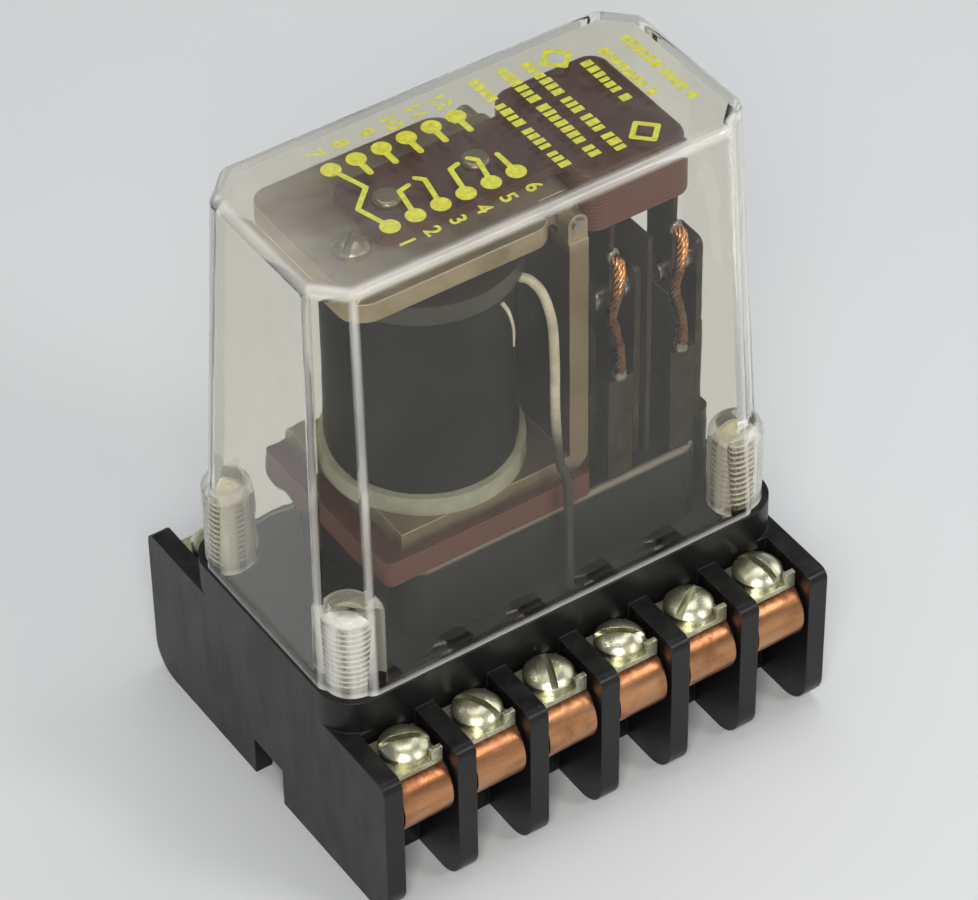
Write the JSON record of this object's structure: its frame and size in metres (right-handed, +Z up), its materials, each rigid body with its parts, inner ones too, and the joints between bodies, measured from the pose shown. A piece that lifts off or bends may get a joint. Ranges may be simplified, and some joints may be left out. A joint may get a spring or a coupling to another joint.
{
  "type": "plug-in relay",
  "caption": "Plug-in relay: clear cover over a hinged-armature magnet and contacts, on a black base with screw terminals and copper plug contacts along both sides.",
  "frame": {"origin": "middle of the base's underside", "axes": "+X along the two terminal rows, from the magnet to the contacts; +Y across the base; +Z up through the cover"},
  "size_m": [0.0596, 0.0492, 0.0795],
  "materials": {
    "black_phenolic": "moulded, satin",
    "dark_fibre": "matt sheet",
    "copper": "satin copper",
    "nickel_plate": "dull nickel plate",
    "clear_cover": "clear, glossy",
    "zinc_plated_steel": "yellow zinc plate",
    "bare_steel": "bare steel",
    "maroon_phenolic": "maroon laminate",
    "bobbin_plastic": "moulded",
    "enamelled_wire": "enamelled copper",
    "black_tape": "cloth tape",
    "white_wire": "insulated lead",
    "contact_spring_metal": "phosphor bronze",
    "silver_contact": "silver"
  },
  "bodies": {
    "frame": {"base_moulding": "black_phenolic", "bobbin": "bobbin_plastic", "bottom_plate": "dark_fibre", "braid_post_far_1": "contact_spring_metal", "braid_post_far_2": "contact_spring_metal", "braid_post_near_1": "contact_spring_metal", "braid_post_near_2": "contact_spring_metal", "clamp_plates": "nickel_plate", "coil_lead_far": "white_wire", "coil_lead_near": "white_wire", "coil_tape": "black_tape", "coil_winding": "enamelled_wire", "contact_barrier_1": "dark_fibre", "contact_barrier_2": "dark_fibre", "contact_strap_far_1": "copper", "contact_strap_far_2": "copper", "contact_strap_far_3": "copper", "contact_strap_far_4": "copper", "contact_strap_far_5": "copper", "contact_strap_far_6": "copper", "contact_strap_near_1": "copper", "contact_strap_near_2": "copper", "contact_strap_near_3": "copper", "contact_strap_near_4": "copper", "contact_strap_near_5": "copper", "contact_strap_near_6": "copper", "copper_braids": "copper", "core": "bare_steel", "core_screw": "nickel_plate", "cover": "clear_cover", "cover_screws": "nickel_plate", "fixed_arm_far_1_open": "contact_spring_metal", "fixed_arm_far_1_shut": "contact_spring_metal", "fixed_arm_far_2_shut": "contact_spring_metal", "fixed_arm_near_1_open": "contact_spring_metal", "fixed_arm_near_1_shut": "contact_spring_metal", "fixed_arm_near_2_open": "contact_spring_metal", "fixed_contacts": "silver_contact", "hinge_pin": "bare_steel", "jumper_wires": "enamelled_wire", "pedestal": "black_phenolic", "pedestal_insulator": "maroon_phenolic", "pedestal_screws": "nickel_plate", "return_spring": "bare_steel", "spring_anchor": "contact_spring_metal", "terminal_screws": "nickel_plate", "yoke": "zinc_plated_steel", "yoke_insulator": "dark_fibre"},
    "armature": {"armature": "zinc_plated_steel", "stop_screw": "nickel_plate", "contact_carrier": "maroon_phenolic", "carrier_rivets": "nickel_plate", "moving_contacts": "silver_contact", "moving_blade_far_1": "contact_spring_metal", "moving_blade_far_2": "contact_spring_metal", "moving_blade_near_1": "contact_spring_metal", "moving_blade_near_2": "contact_spring_metal"}
  },
  "joints": [
    {"name": "armature_hinge", "type": "hinge", "parent": "frame", "child": "armature", "pos_m": [0.005, 0, 0.0737], "axis": [0, -1, 0], "range_deg": [0, 3.6], "stiffness_Nm_per_rad": 0.04, "springref_deg": -6.88, "deforming": ["return_spring", "copper_braids"]}
  ]
}
